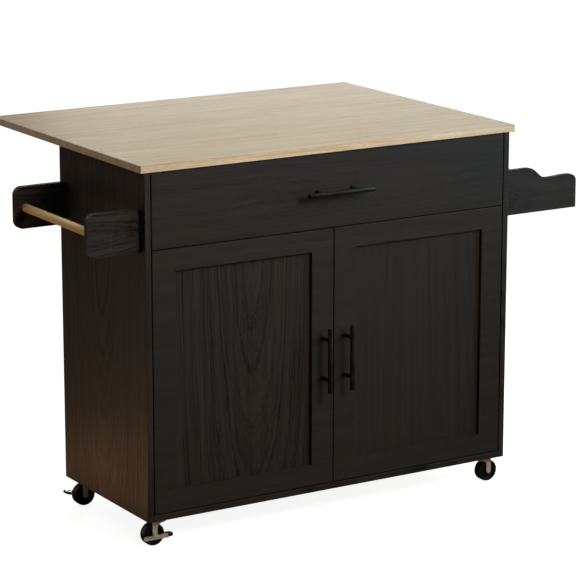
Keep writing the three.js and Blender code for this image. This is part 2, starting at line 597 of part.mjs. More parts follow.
// An upright channel on the cabinet's back, open to the rear, with the leaf's pivot pin
// riveted through its top.
function wallArmGeometry() {
  const half = WALL_ARM_HALF;
  const reach = WALL_ARM_REACH;
  const foot = -(STRUT_OFFSET + STRUT_LENGTH) - ROLLER_DIAMETER / 2 - WALL_ARM_TAIL;
  const flange = new THREE.Shape();
  flange.moveTo(-PIVOT_SETBACK, foot);
  flange.lineTo(reach, foot);
  flange.lineTo(reach, 0);
  flange.absarc(0, 0, reach, 0, Math.PI / 2, false);
  flange.lineTo(-PIVOT_SETBACK, reach);
  const web = plainBox([-half, half], [-PIVOT_SETBACK, BRACKET_SHEET - PIVOT_SETBACK], [foot, reach]);
  const flanges = [-half, half - BRACKET_SHEET].map((x) => sweep(flange, 'x', x, x + BRACKET_SHEET));
  const pin = rod('x', PIN_DIAMETER / 2, -half, half);
  const heads = [-half - RIVET_HEAD_THICKNESS, half].map((x) => rod('x', RIVET_HEAD_DIAMETER / 2,
    x, x + RIVET_HEAD_THICKNESS));
  return joined([web, ...flanges, pin, ...heads]);
}

// A channel under the leaf, open downwards, with the strut's pin riveted through it.
function leafArmGeometry() {
  const half = LEAF_ARM_HALF;
  const lip = LEAF_ARM_LIP;
  const flange = new THREE.Shape();
  flange.moveTo(0, -lip);
  flange.lineTo(LEAF_ARM_LENGTH - lip, -lip);
  flange.lineTo(LEAF_ARM_LENGTH, PIVOT_DROP - BRACKET_SHEET);
  flange.lineTo(LEAF_ARM_LENGTH, PIVOT_DROP);
  flange.lineTo(LEAF_EDGE_LEAD, PIVOT_DROP);
  flange.lineTo(0, lip);
  flange.absarc(0, 0, lip, Math.PI / 2, 1.5 * Math.PI, false);
  const web = plainBox([-half, half], [LEAF_EDGE_LEAD, LEAF_ARM_LENGTH],
    [PIVOT_DROP - BRACKET_SHEET, PIVOT_DROP]);
  const flanges = [-half, half - BRACKET_SHEET].map((x) => sweep(flange, 'x', x, x + BRACKET_SHEET));
  const pin = rod('x', PIN_DIAMETER / 2, -half, half, [STRUT_OFFSET, 0]);
  return joined([web, ...flanges, pin], [pinHole()]);
}

// The strut is drawn lying along +Y from its eye, with its roller at the far end.
function strutGeometry() {
  const radius = STRUT_EYE_RADIUS;
  const side = new THREE.Shape();
  side.moveTo(0, -radius);
  side.lineTo(STRUT_LENGTH, -radius);
  side.absarc(STRUT_LENGTH, 0, radius, -Math.PI / 2, Math.PI / 2, false);
  side.lineTo(0, radius);
  side.absarc(0, 0, radius, Math.PI / 2, 1.5 * Math.PI, false);
  const bar = sweep(side, 'x', -STRUT_WIDTH / 2, STRUT_WIDTH / 2);
  const roller = rod('x', ROLLER_DIAMETER / 2, -LEAF_ARM_HALF, LEAF_ARM_HALF, [STRUT_LENGTH, 0]);
  return joined([bar, roller], [pinHole()]);
}

function addLeaf(parent) {
  const leaf = groupAt(parent, [0, PIVOT_Y, PIVOT_Z]);
  board(leaf, 'drop_leaf', oakTop, [TOP_WIDTH, LEAF_DEPTH, TOP_THICKNESS],
    [-TOP_SIDE_OVERHANG, LEAF_EDGE_LEAD, PIVOT_DROP], TOP_CHAMFER);
  const wallArm = wallArmGeometry();
  const leafArm = leafArmGeometry();
  const strut = strutGeometry();
  for (const [side, x] of [['left', BRACKET_INSET], ['right', CABINET_WIDTH - BRACKET_INSET]]) {
    place(parent, `leaf_wall_arm_${side}`, wallArm, blackMetal, [x, PIVOT_Y, PIVOT_Z]);
    place(leaf, `leaf_arm_${side}`, leafArm, blackMetal, [x, 0, 0]);
    const brace = place(leaf, `leaf_strut_${side}`, strut, blackMetal, [x, STRUT_OFFSET, 0]);
    // From its eye the strut leans down to its foot, which stands below the leaf's pivot
    // as far as the eye is behind it.
    brace.rotation.x = -0.75 * Math.PI;
  }
}

// ---- casters ----
// A caster is drawn about its swivel axis, with z = 0 on the cabinet's underside and the
// wheel trailing towards +X.
const LEG_INSIDE = WHEEL_WIDTH / 2 + WHEEL_HUB_PROUD + FORK_SIDE_CLEARANCE;
const LEG_OUTSIDE = LEG_INSIDE + FORK_SHEET;
const FORK_HEAD_BOTTOM = FORK_TOP - FORK_SHEET;
const PEDAL_START = WHEEL_DIAMETER / 2 + PEDAL_CLEARANCE;

function casterPlateGeometry() {
  const half = CASTER_PLATE_SIZE / 2;
  const r = CASTER_PLATE_CORNER;
  const outline = new THREE.Shape();
  outline.absarc(half - r, half - r, r, 0, Math.PI / 2, false);
  outline.absarc(r - half, half - r, r, Math.PI / 2, Math.PI, false);
  outline.absarc(r - half, r - half, r, Math.PI, 1.5 * Math.PI, false);
  outline.absarc(half - r, r - half, r, 1.5 * Math.PI, 2 * Math.PI, false);
  const plate = sweep(outline, 'z', -CASTER_PLATE_THICKNESS, 0);
  const racewayTop = -CASTER_PLATE_THICKNESS / 2;
  const racewayBottom = -CASTER_PLATE_THICKNESS - RACEWAY_HEIGHT;
  const raceway = rod('z', RACEWAY_DIAMETER / 2, racewayBottom, racewayTop, [0, 0], BAR_SIDES);
  const pinHeadTop = FORK_HEAD_BOTTOM - SWIVEL_GAP;
  const pinHeadBottom = pinHeadTop - RIVET_HEAD_THICKNESS;
  const pin = rod('z', KINGPIN_DIAMETER / 2, pinHeadBottom, racewayTop);
  const pinHead = rod('z', KINGPIN_HEAD_DIAMETER / 2, pinHeadBottom, pinHeadTop);
  return joined([plate, raceway, pin, pinHead]);
}

// The fork, with the axle riveted through its two legs. A leg stands straight over the
// axle and flares towards the swivel axis under the head. leverSide is -1 or 1 where a
// brake lever turns on a longer end of the axle on that side, or 0.
function forkGeometry(leverSide) {
  const r = FORK_FOOT_RADIUS;
  const trailing = CASTER_TRAIL + r;
  const leading = CASTER_TRAIL - r;
  const headEdge = -FORK_HEAD_DIAMETER / 2;
  const head = rod('z', FORK_HEAD_DIAMETER / 2, FORK_HEAD_BOTTOM, FORK_TOP, [0, 0], BAR_SIDES);
  const saddle = plainBox([headEdge, trailing], [-LEG_OUTSIDE, LEG_OUTSIDE],
    [FORK_HEAD_BOTTOM, FORK_TOP]);
  // Outline axes along y are Z then X.
  const skirt = FORK_HEAD_BOTTOM - FORK_SKIRT;
  const leg = new THREE.Shape();
  leg.moveTo(FORK_TOP, headEdge);
  leg.lineTo(FORK_TOP, trailing);
  leg.lineTo(AXLE_Z, trailing);
  leg.absarc(AXLE_Z, CASTER_TRAIL, r, Math.PI / 2, 1.5 * Math.PI, false);
  leg.lineTo(skirt - FORK_FLARE_HEIGHT, leading);
  leg.quadraticCurveTo(skirt, leading, skirt, headEdge);
  const legs = [-LEG_OUTSIDE, LEG_INSIDE].map((y) => sweep(leg, 'y', y, y + FORK_SHEET));

  const axis = [AXLE_Z, CASTER_TRAIL];
  const [left, right] = [-1, 1].map((side) => side * (side === leverSide
    ? LEG_OUTSIDE + 2 * LEVER_GAP + LEVER_SHEET
    : LEG_OUTSIDE));
  const axle = rod('y', AXLE_DIAMETER / 2, left, right, axis);
  const leftHead = rod('y', AXLE_HEAD_DIAMETER / 2, left - AXLE_HEAD_THICKNESS, left, axis);
  const rightHead = rod('y', AXLE_HEAD_DIAMETER / 2, right, right + AXLE_HEAD_THICKNESS, axis);
  const hole = rod('z', KINGPIN_DIAMETER / 2 + SWIVEL_GAP, AXLE_Z, 0);
  return joined([head, saddle, ...legs, axle, leftHead, rightHead], [hole]);
}

// A wheel on the axis y, centred on the origin: a plain bore, a proud hub, a dished face
// and a tread with eased shoulders. A flat of its tread is at the bottom.
function wheelGeometry() {
  const flatsToCorners = 1 / Math.cos(Math.PI / WHEEL_SIDES);
  const bore = AXLE_DIAMETER / 2 + AXLE_CLEARANCE;
  const hub = WHEEL_HUB_DIAMETER / 2;
  const rim = WHEEL_DIAMETER / 2 - WHEEL_RIM_WIDTH;
  const tread = WHEEL_DIAMETER / 2;
  const half = WHEEL_WIDTH / 2;
  const upper = [
    [bore, half + WHEEL_HUB_PROUD],
    [hub, half + WHEEL_HUB_PROUD],
    [hub + WHEEL_FACE_STEP, half - WHEEL_FACE_RECESS],
    [rim - WHEEL_FACE_STEP, half - WHEEL_FACE_RECESS],
    [rim, half],
    [tread - WHEEL_SHOULDER, half],
    [tread, half - WHEEL_SHOULDER],
  ];
  const lower = upper.map(([radius, y]) => [radius, -y]).reverse();
  const profile = [...upper, ...lower, upper[0]].map(
    ([radius, y]) => new THREE.Vector2(radius * flatsToCorners, -y));
  const geometry = new THREE.LatheGeometry(profile, WHEEL_SIDES);
  return geometry.rotateY(Math.PI / WHEEL_SIDES);
}

// A brake lever on the axle, drawn about the axle: an eye and below it a flat bar beside
// the wheel, outside the leg that faces -Y, and a pedal past the wheel at the +X end.
function leverGeometry() {
  const inner = -LEG_OUTSIDE - LEVER_GAP;
  const outer = inner - LEVER_SHEET;
  const half = LEVER_HEIGHT / 2;
  const top = half - LEVER_DROP;
  const bottom = -half - LEVER_DROP;
  // Outline axes along y are Z then X.
  const bar = new THREE.Shape();
  bar.moveTo(bottom, -LEVER_BACK);
  bar.lineTo(bottom, PEDAL_START + PEDAL_THICKNESS);
  bar.lineTo(top, PEDAL_START + PEDAL_THICKNESS);
  bar.lineTo(top, -LEVER_BACK);
  bar.absarc(-LEVER_DROP, -LEVER_BACK, half, 0, -Math.PI, true);
  const eye = rod('y', LEVER_EYE_DIAMETER / 2, outer, inner, [0, 0], BAR_SIDES);

  const end = PEDAL_START + PEDAL_LENGTH;
  const far = outer + PEDAL_WIDTH;
  const pedal = sweep(polygon([
    [PEDAL_START, outer], [end - PEDAL_CORNER, outer], [end, outer + PEDAL_CORNER],
    [end, far - PEDAL_CORNER], [end - PEDAL_CORNER, far], [PEDAL_START, far],
  ]), 'z', -LEVER_DROP - PEDAL_THICKNESS / 2, PEDAL_THICKNESS / 2 - LEVER_DROP);
  const hole = rod('y', AXLE_DIAMETER / 2 + AXLE_CLEARANCE, 2 * outer, 0);
  return joined([sweep(bar, 'y', outer, inner), eye, pedal], [hole]);
}

// trail is 1 or -1 for a wheel trailing to the right or left. lever is 0 for none, or 1
// or -1 for a brake pedal to the right or left, which is raised by the angle lift.
function addCaster(parent, where, [x, y], trail, lever, lift = 0) {
  place(parent, `caster_plate_${where}`, casterPlateGeometry(), zincSteel, [x, y, 0]);
  const swivel = groupAt(parent, [x, y, 0]);
  swivel.rotation.z = trail > 0 ? 0 : Math.PI;
  place(swivel, `caster_fork_${where}`, forkGeometry(-lever * trail), zincSteel);
  place(swivel, `caster_wheel_${where}`, wheelGeometry(), blackTyre, [CASTER_TRAIL, 0, AXLE_Z]);
  if (lever !== 0) {
    const brake = place(swivel, `brake_lever_${where}`, leverGeometry(), zincSteel,
      [CASTER_TRAIL, 0, AXLE_Z]);
    brake.rotation.y = -lever * trail * lift;
    brake.rotation.z = lever === trail ? 0 : Math.PI;
  }
}

function addCasters(parent) {
  const left = CASTER_INSET_X;
  const right = CABINET_WIDTH - CASTER_INSET_X;
  const front = CASTER_INSET_Y;
  const rear = CABINET_DEPTH - CASTER_INSET_Y;
  addCaster(parent, 'front_left', [left, front], -1, 1);
  addCaster(parent, 'rear_left', [left, rear], -1, -1, LEVER_LIFT);
  addCaster(parent, 'front_right', [right, front], 1, 0);
  addCaster(parent, 'rear_right', [right, rear], 1, 0);
}

// ---- the island ----
const island = new THREE.Group();
addCabinet(island);
addDrawer(island);
addDoor(island, 'left');
addDoor(island, 'right');
addTowelRack(island);
addSpiceRack(island);
addLeaf(island);
addCasters(island);

// The outline runs from the towel rack to the spice rack, and from the handles to the
// leaf's back edge.
const outlineLeft = -TOWEL_REACH;
const outlineRight = CABINET_WIDTH + SPICE_REACH;
const outlineFront = -PULL_STANDOFF - PULL_DIAMETER / 2;
island.position.set(
  -(outlineLeft + outlineRight) / 2,
  -(outlineFront + LEAF_BACK) / 2,
  CASTER_HEIGHT,
);

const model = new THREE.Group();
model.add(island);
export default model;
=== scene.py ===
"""Looks of the drop leaf kitchen island: materials, smooth turned pieces, light and camera.

Lengths are in metres unless a name or a comment says otherwise. X runs to the right along the front,
Y from the front to the back, and Z is up.
"""

import math

import bmesh
import bpy
from mathutils import Matrix, Vector


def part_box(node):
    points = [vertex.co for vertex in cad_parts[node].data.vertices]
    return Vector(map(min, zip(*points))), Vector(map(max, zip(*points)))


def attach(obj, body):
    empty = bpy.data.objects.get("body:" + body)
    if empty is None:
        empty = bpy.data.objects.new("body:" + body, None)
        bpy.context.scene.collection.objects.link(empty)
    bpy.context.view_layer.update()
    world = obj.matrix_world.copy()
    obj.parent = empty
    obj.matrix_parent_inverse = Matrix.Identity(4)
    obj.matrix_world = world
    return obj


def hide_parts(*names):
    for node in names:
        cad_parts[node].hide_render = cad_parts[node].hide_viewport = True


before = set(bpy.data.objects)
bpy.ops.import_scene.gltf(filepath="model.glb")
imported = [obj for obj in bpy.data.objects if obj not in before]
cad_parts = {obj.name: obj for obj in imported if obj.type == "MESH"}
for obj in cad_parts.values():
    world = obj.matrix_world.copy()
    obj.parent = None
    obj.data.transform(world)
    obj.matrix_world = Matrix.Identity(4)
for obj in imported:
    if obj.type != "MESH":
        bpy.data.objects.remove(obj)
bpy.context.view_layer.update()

MM = 0.001
SIDES = ("left", "right")
LEVELS = ("lower", "upper")
CASTERS = ("front_left", "rear_left", "front_right", "rear_right")
BRAKED_CASTERS = ("front_left", "rear_left")


def srgb(red, green, blue):
    """A colour given as 0 to 255 screen values, as the linear RGBA that shaders use."""

    def linear(value):
        value = value / 255
        return value / 12.92 if value <= 0.04045 else ((value + 0.055) / 1.055) ** 2.4

    return (linear(red), linear(green), linear(blue), 1.0)


# ---- node helpers ----
class Shader:
    """A material's node tree, with short calls for the nodes used here."""

    def __init__(self, name):
        self.material = bpy.data.materials.new(name)
        self.material.use_nodes = True
        self.tree = self.material.node_tree
        self.surface = self.tree.nodes["Principled BSDF"]

    def node(self, kind, **settings):
        made = self.tree.nodes.new(kind)
        for key, value in settings.items():
            setattr(made, key, value)
        return made

    def feed(self, socket, value):
        if isinstance(value, bpy.types.NodeSocket):
            self.tree.links.new(value, socket)
        else:
            socket.default_value = value

    def math(self, operation, first, second=0.0):
        made = self.node("ShaderNodeMath", operation=operation)
        self.feed(made.inputs[0], first)
        self.feed(made.inputs[1], second)
        return made.outputs[0]

    def vector(self, x, y, z):
        made = self.node("ShaderNodeCombineXYZ")
        for socket, value in zip(made.inputs, (x, y, z)):
            self.feed(socket, value)
        return made.outputs[0]

    def noise(self, place, detail=2.0, roughness=0.5):
        made = self.node("ShaderNodeTexNoise")
        self.feed(made.inputs["Vector"], place)
        made.inputs["Scale"].default_value = 1.0
        made.inputs["Detail"].default_value = detail
        made.inputs["Roughness"].default_value = roughness
        return made.outputs["Fac"]

    def ramp(self, value, low, high, to_low=0.0, to_high=1.0):
        """The value taken from low..high to to_low..to_high, and held at the ends."""
        made = self.node("ShaderNodeMapRange", interpolation_type="SMOOTHSTEP")
        self.feed(made.inputs["Value"], value)
        for key, number in (("From Min", low), ("From Max", high), ("To Min", to_low), ("To Max", to_high)):
            made.inputs[key].default_value = number
        return made.outputs["Result"]

    def blend(self, share, first, second):
        made = self.node("ShaderNodeMix", data_type="RGBA")
        self.feed(made.inputs["Factor"], share)
        self.feed(made.inputs["A"], first)
        self.feed(made.inputs["B"], second)
        return made.outputs["Result"]

    def bump(self, height, strength, depth):
        made = self.node("ShaderNodeBump")
        made.inputs["Strength"].default_value = strength
        made.inputs["Distance"].default_value = depth
        self.feed(made.inputs["Height"], height)
        self.feed(self.surface.inputs["Normal"], made.outputs["Normal"])

    def millimetres(self):
        """The object's own coordinates in millimetres, as x, y and z."""
        place = self.node("ShaderNodeTexCoord").outputs["Object"]
        split = self.node("ShaderNodeSeparateXYZ")
        self.feed(split.inputs[0], place)
        return {axis: self.math("DIVIDE", split.outputs[axis], MM) for axis in "XYZ"}


# ---- wood ----
# Grain noises: length along the board and width across it in millimetres, a number that
# keeps the noises of one board apart, and the detail.
WANDER_GRAIN = (300.0, 80.0, 0.0, 2.0)
SWAY_GRAIN = (160.0, 50.0, 7.0, 2.0)
JAG_GRAIN = (30.0, 3.0, 3.0, 2.0)
STREAK_GRAIN = (380.0, 13.0, 13.0, 3.0)
FIBRE_GRAIN = (110.0, 3.2, 21.0, 3.0)
PORE_GRAIN = (15.0, 1.3, 34.0, 2.0)
PATCH_GRAIN = (260.0, 60.0, 55.0, 2.0)
# How far the growth rings move over the whole span of each noise, in millimetres.
WANDER = 26.0
SWAY = 12.0
JAG = 13.0
# Growth rings. Two noises along the radius, with their lengths in rings, make the years
# unequally wide and some of them strong.
YEAR_DRIFT = 4.0
YEAR_DRIFT_RINGS = 3.2
STRONG_YEAR_RINGS = 2.4
STRONG_YEAR_SEED = 5.0
STRONG_YEAR_SPAN = (0.34, 0.66)
LATE_WOOD = (0.30, 0.92)  # where in a year the wood darkens
YEAR_END = (0.94, 1.0)  # where it turns pale again
WEAK_RING = 0.3  # how dark a weak year's ring is, against a strong year's
RING_GROUND = 0.3  # how far a strong year darkens all of itself
# The spans of noise over which a mark goes from none to full.
STREAK_SPAN = (-0.16, 0.16)
FIBRE_SPAN = (-0.18, 0.18)
PORE_SPAN = (0.04, 0.14)
PATCH_SPAN = (-0.14, 0.14)
# How far a face looks along the board's thickness, from an edge's band and painted light to the board's
# wood.
EDGE_FACING_SPAN = (0.3, 0.8)
RING_HEIGHT = 0.4
WOOD_BUMP = 0.35
WOOD_BUMP_DEPTH = 0.25 * MM


def wood(name, along, across, centre, colours, spacing, pith, taper, seed, figure, sheen, edge_band_and_light=None):
    """Wood sawn along one axis, with the arched figure of a board cut beside the tree's heart.

    Growth rings are cones round an axis that runs along the board, pith millimetres under
    its face at the coordinate 0, and nearer or farther by taper for each millimetre along
    it. spacing is the width of a ring, and centre is where that axis lies across the
    board, both in millimetres. The last argument is the lighter colour of the faces that look
    sideways: partly the band glued on the edges, and partly painted light on those edges.
    """
    shader = Shader(name)
    place = shader.millimetres()
    depth_axis = ({"X", "Y", "Z"} - {along, across}).pop()
    run = place[along]
    side = shader.math("SUBTRACT", place[across], centre)
    depth = place[depth_axis]

    def grain_noise(length, width, offset, detail):
        stretched = shader.vector(
            shader.math("DIVIDE", run, length),
            shader.math("ADD", shader.math("DIVIDE", side, width), seed + offset),
            shader.math("DIVIDE", depth, width),
        )
        return shader.math("SUBTRACT", shader.noise(stretched, detail), 0.5)

    wander = shader.math("MULTIPLY", grain_noise(*WANDER_GRAIN), WANDER)
    sway = shader.math("MULTIPLY", grain_noise(*SWAY_GRAIN), SWAY)
    jags = shader.math("MULTIPLY", grain_noise(*JAG_GRAIN), JAG)
    side_bent = shader.math("ADD", side, wander)
    lean = shader.math("MULTIPLY", run, taper)
    under = shader.math("ADD", shader.math("ADD", lean, pith), shader.math("ADD", sway, jags))
    ring_place = shader.node("ShaderNodeVectorMath", operation="LENGTH")
    shader.feed(ring_place.inputs[0], shader.vector(side_bent, under, 0.0))
    radius = ring_place.outputs["Value"]

    def year_noise(length_in_rings, offset):
        along_radius = shader.math("DIVIDE", radius, length_in_rings * spacing)
        return shader.noise(shader.vector(along_radius, seed + offset, 0.0), 1.0)

    drift = shader.math("MULTIPLY", year_noise(YEAR_DRIFT_RINGS, 0.0), YEAR_DRIFT)
    rings = shader.math("ADD", shader.math("DIVIDE", radius, spacing), drift)
    phase = shader.math("FRACT", rings)
    late = shader.ramp(phase, *LATE_WOOD)
    edge = shader.ramp(phase, *YEAR_END, 1.0, 0.0)
    strength = shader.ramp(year_noise(STRONG_YEAR_RINGS, STRONG_YEAR_SEED), *STRONG_YEAR_SPAN)
    ring = shader.math("MULTIPLY", shader.math("MULTIPLY", late, edge),
                       shader.math("ADD", WEAK_RING, shader.math("MULTIPLY", strength, 1.0 - WEAK_RING)))

    streak = shader.ramp(grain_noise(*STREAK_GRAIN), *STREAK_SPAN)
    fibre = shader.ramp(grain_noise(*FIBRE_GRAIN), *FIBRE_SPAN)
    pore = shader.ramp(grain_noise(*PORE_GRAIN), *PORE_SPAN)
    pore_in_ring = shader.math("MULTIPLY", pore, shader.math("SUBTRACT", 1.0, late))

    ring_share, streak_share, fibre_share, pore_share = figure
    ring_with_ground = shader.math("ADD", ring, shader.math("MULTIPLY", strength, RING_GROUND))
    dark = shader.math("MULTIPLY", ring_with_ground, ring_share)
    for mark, share in ((streak, streak_share), (fibre, fibre_share), (pore_in_ring, pore_share)):
        dark = shader.math("ADD", dark, shader.math("MULTIPLY", mark, share))
    light_colour, warm_colour, dark_colour = colours
    patch = shader.ramp(grain_noise(*PATCH_GRAIN), *PATCH_SPAN)
    ground = shader.blend(patch, light_colour, warm_colour)
    # Faces that look sideways take a lighter colour: partly an edge band, partly painted light on those
    # edges.
    if edge_band_and_light:
        facing = shader.node("ShaderNodeSeparateXYZ")
        shader.feed(facing.inputs[0], shader.node("ShaderNodeTexCoord").outputs["Normal"])
        level = shader.math("ABSOLUTE", facing.outputs[depth_axis])
        ground = shader.blend(shader.ramp(level, *EDGE_FACING_SPAN, 1.0, 0.0), ground, edge_band_and_light)
    shader.feed(shader.surface.inputs["Base Color"], shader.blend(dark, ground, dark_colour))

    rough_low, rough_high, specular = sheen
    shader.feed(shader.surface.inputs["Roughness"], shader.ramp(dark, 0.0, 1.0, rough_low, rough_high))
    shader.surface.inputs["Specular IOR Level"].default_value = specular
    height = shader.math("ADD", shader.math("MULTIPLY", ring, RING_HEIGHT), pore_in_ring)
    shader.bump(shader.math("SUBTRACT", 1.0, height), WOOD_BUMP, WOOD_BUMP_DEPTH)
    return shader.material


# Wood has a light, a warm and a dark colour. A figure is the share of rings, streaks,
# fibres and pores in the dark one. A sheen is the roughness where the wood is light and
# where it is dark, and the specular level.
BLACK_WOOD = (srgb(49, 47, 46), srgb(50, 47, 44), srgb(17, 16, 15))
FIGURED_BLACK_WOOD = (srgb(54, 51, 49), srgb(55, 51, 47), srgb(17, 16, 15))
BLACK_FIGURE = (0.62, 0.24, 0.16, 0.24)
SOFT_FIGURE = (0.34, 0.20, 0.15, 0.20)
PLAIN_FIGURE = (0.20, 0.16, 0.14, 0.18)
BLACK_SHEEN = (0.40, 0.55, 0.3)
OAK = (srgb(187, 172, 142), srgb(183, 164, 130), srgb(152, 130, 93))
OAK_FIGURE = (0.26, 0.22, 0.20, 0.32)
# The oak top's edges: a lighter band colour, partly the band's own and partly painted light on the edges.
OAK_EDGE_BAND_AND_LIGHT = srgb(222, 209, 184)
OAK_SHEEN = (0.36, 0.48, 0.4)
GREY_BOARD = (srgb(176, 170, 160), srgb(170, 161, 148), srgb(140, 133, 122))
BIRCH = (srgb(250, 220, 162), srgb(246, 210, 146), srgb(216, 172, 106))


def black_wood(name, along, across, centre, pith, taper, seed, spacing=6.0, figure=BLACK_FIGURE):
    colours = FIGURED_BLACK_WOOD if figure == BLACK_FIGURE else BLACK_WOOD
    return wood(name, along, across, centre, colours, spacing, pith, taper, seed, figure, BLACK_SHEEN)


# ---- other finishes ----
CLOUD_SPAN = (0.35, 0.65)
GLOSS_SPAN = (0.3, 0.7)
FINE_GRAINS = 8  # fine grains along one broad one
FINISH_BUMP = 0.25
METAL_BUMP_DEPTH = 0.03 * MM
PLASTIC_BUMP_DEPTH = 0.05 * MM


def cloudy(name, colours, grain_size, metallic, rough_low, rough_high, bump_depth, specular=0.5):
    """A finish whose colour and gloss drift a little from place to place."""
    shader = Shader(name)
    place = shader.millimetres()
    spot = shader.vector(*(shader.math("DIVIDE", place[axis], grain_size) for axis in "XYZ"))
    fine_spot = shader.vector(
        *(shader.math("DIVIDE", place[axis], grain_size / FINE_GRAINS) for axis in "XYZ"))
    broad = shader.ramp(shader.noise(spot, 3.0), *CLOUD_SPAN)
    fine = shader.noise(fine_spot, 2.0)
    shader.feed(shader.surface.inputs["Base Color"], shader.blend(broad, *colours))
    shader.feed(shader.surface.inputs["Roughness"], shader.ramp(fine, *GLOSS_SPAN, rough_low, rough_high))
    shader.surface.inputs["Metallic"].default_value = metallic
    shader.surface.inputs["Specular IOR Level"].default_value = specular
    shader.bump(fine, FINISH_BUMP, bump_depth)
    return shader.material


black_metal = cloudy("black_bronze", (srgb(60, 54, 45), srgb(45, 41, 34)),
                     14.0, 0.75, 0.42, 0.56, METAL_BUMP_DEPTH)
zinc = cloudy("bright_zinc", (srgb(232, 229, 222), srgb(208, 204, 196)),
              6.0, 0.4, 0.26, 0.42, METAL_BUMP_DEPTH)
lever_zinc = cloudy("lever_zinc", (srgb(206, 203, 196), srgb(180, 176, 168)),
                    6.0, 0.4, 0.3, 0.46, METAL_BUMP_DEPTH)
wheel_black = cloudy("wheel_plastic", (srgb(12, 12, 12), srgb(7, 7, 7)),
                     5.0, 0.0, 0.26, 0.4, PLASTIC_BUMP_DEPTH, 0.35)
pedal_black = cloudy("pedal_plastic", (srgb(15, 15, 15), srgb(9, 9, 9)),
                     4.0, 0.0, 0.2, 0.34, PLASTIC_BUMP_DEPTH)


def dress(material, *names):
    """Gives CAD nodes a material."""
    for name in names:
        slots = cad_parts[name].data.materials
        slots.clear()
        slots.append(material)


dress(black_wood("side_left_wood", "Z", "Y", -146.0, 116.0, -0.14, 3.0, 8.0), "side_panel_left")
dress(black_wood("side_right_wood", "Z", "Y", -120.0, 30.0, 0.13, 11.0), "side_panel_right")
dress(black_wood("back_wood", "Z", "X", 40.0, 40.0, 0.12, 19.0), "back_panel")
dress(black_wood("drawer_front_wood", "X", "Z", 806.0, 40.0, 0.05, 27.0, 6.0, SOFT_FIGURE), "drawer_front")
dress(black_wood("frame_wood", "X", "Z", 300.0, 420.0, 0.02, 35.0, 6.0, PLAIN_FIGURE),
      "door_frame_left", "door_frame_right")
dress(black_wood("panel_left_wood", "Z", "X", -258.0, 104.0, -0.14, 43.0), "door_panel_left")
dress(black_wood("panel_right_wood", "Z", "X", 470.0, 190.0, -0.06, 51.0, 5.0, PLAIN_FIGURE),
      "door_panel_right")
dress(black_wood("level_board_wood", "X", "Y", -100.0, 60.0, 0.12, 59.0),
      "bottom_panel", "divider_rail", "top_rail_front", "shelf", "spice_shelf")
dress(black_wood("towel_bracket_wood", "X", "Z", 748.0, 90.0, 0.1, 67.0),
      "towel_bracket_front", "towel_bracket_rear")
dress(black_wood("spice_end_wood", "X", "Z", 700.0, 90.0, 0.1, 75.0), "spice_end_front", "spice_end_rear")
dress(black_wood("spice_rail_wood", "Y", "Z", 700.0, 90.0, 0.1, 83.0), "spice_rail")
dress(wood("oak_top", "X", "Y", -60.0, OAK, 7.0, 60.0, 0.05, 91.0, OAK_FIGURE, OAK_SHEEN, OAK_EDGE_BAND_AND_LIGHT),
      "tabletop_main")
dress(wood("oak_leaf", "X", "Y", 250.0, OAK, 7.0, 80.0, -0.04, 99.0, OAK_FIGURE, OAK_SHEEN, OAK_EDGE_BAND_AND_LIGHT),
      "drop_leaf")
dress(wood("drawer_board", "X", "Z", 700.0, GREY_BOARD, 8.0, 90.0, 0.03, 107.0, OAK_FIGURE, OAK_SHEEN),
      "drawer_side_left", "drawer_side_right", "drawer_back", "drawer_bottom")
birch = wood("birch_bar", "Y", "X", -660.0, BIRCH, 6.0, 30.0, 0.02, 115.0, OAK_FIGURE, (0.3, 0.42, 0.45))
dress(birch, "towel_bar")
dress(black_metal, "drawer_handle")
for side in SIDES:
    dress(black_metal, f"door_handle_{side}", f"leaf_wall_arm_{side}", f"leaf_arm_{side}",
          f"leaf_strut_{side}")
    dress(zinc, f"drawer_slide_outer_{side}", f"drawer_slide_inner_{side}")
    for level in LEVELS:
        dress(zinc, f"hinge_cup_{side}_{level}", f"hinge_arm_{side}_{level}")
for where in CASTERS:
    dress(zinc, f"caster_plate_{where}", f"caster_fork_{where}")
    dress(wheel_black, f"caster_wheel_{where}")
for where in BRAKED_CASTERS:
    dress(lever_zinc, f"brake_lever_{where}")


# ---- turned pieces ----
TURNS = {
    "X": Matrix(((0, 0, 1, 0), (1, 0, 0, 0), (0, 1, 0, 0), (0, 0, 0, 1))),
    "Y": Matrix(((0, 1, 0, 0), (0, 0, 1, 0), (1, 0, 0, 0), (0, 0, 0, 1))),
    "Z": Matrix.Identity(4),
}


ON_AXIS = 1e-7
CREASE_DEGREES = 32.0
EASE_MIDDLE = 0.3  # where an eased end's middle point lies, as a share of the ease


def turned(profile, axis, centre, steps=64):
    """A closed mesh turned round an axis: profile is a list of (radius, place along the axis).

    A profile that starts and ends on the axis makes a solid rod, and any other makes a ring.
    """
    made = bmesh.new()
    rings = []
    for radius, height in profile:
        if radius < ON_AXIS:
            rings.append([made.verts.new((0.0, 0.0, height))])
            continue
        angles = [2 * math.pi * step / steps for step in range(steps)]
        rings.append([made.verts.new((radius * math.cos(a), radius * math.sin(a), height)) for a in angles])
    pairs = list(zip(rings, rings[1:]))
    if len(rings[0]) > 1:
        pairs.append((rings[-1], rings[0]))
    for low, high in pairs:
        for step in range(steps):
            after = (step + 1) % steps
            corners = [low[step % len(low)], low[after % len(low)], high[after % len(high)],
                       high[step % len(high)]]
            face = list(dict.fromkeys(corners))
            if len(face) > 2:
                made.faces.new(face)
    bmesh.ops.recalc_face_normals(made, faces=made.faces)
    bmesh.ops.transform(made, matrix=Matrix.Translation(centre) @ TURNS[axis], verts=made.verts)
    return made


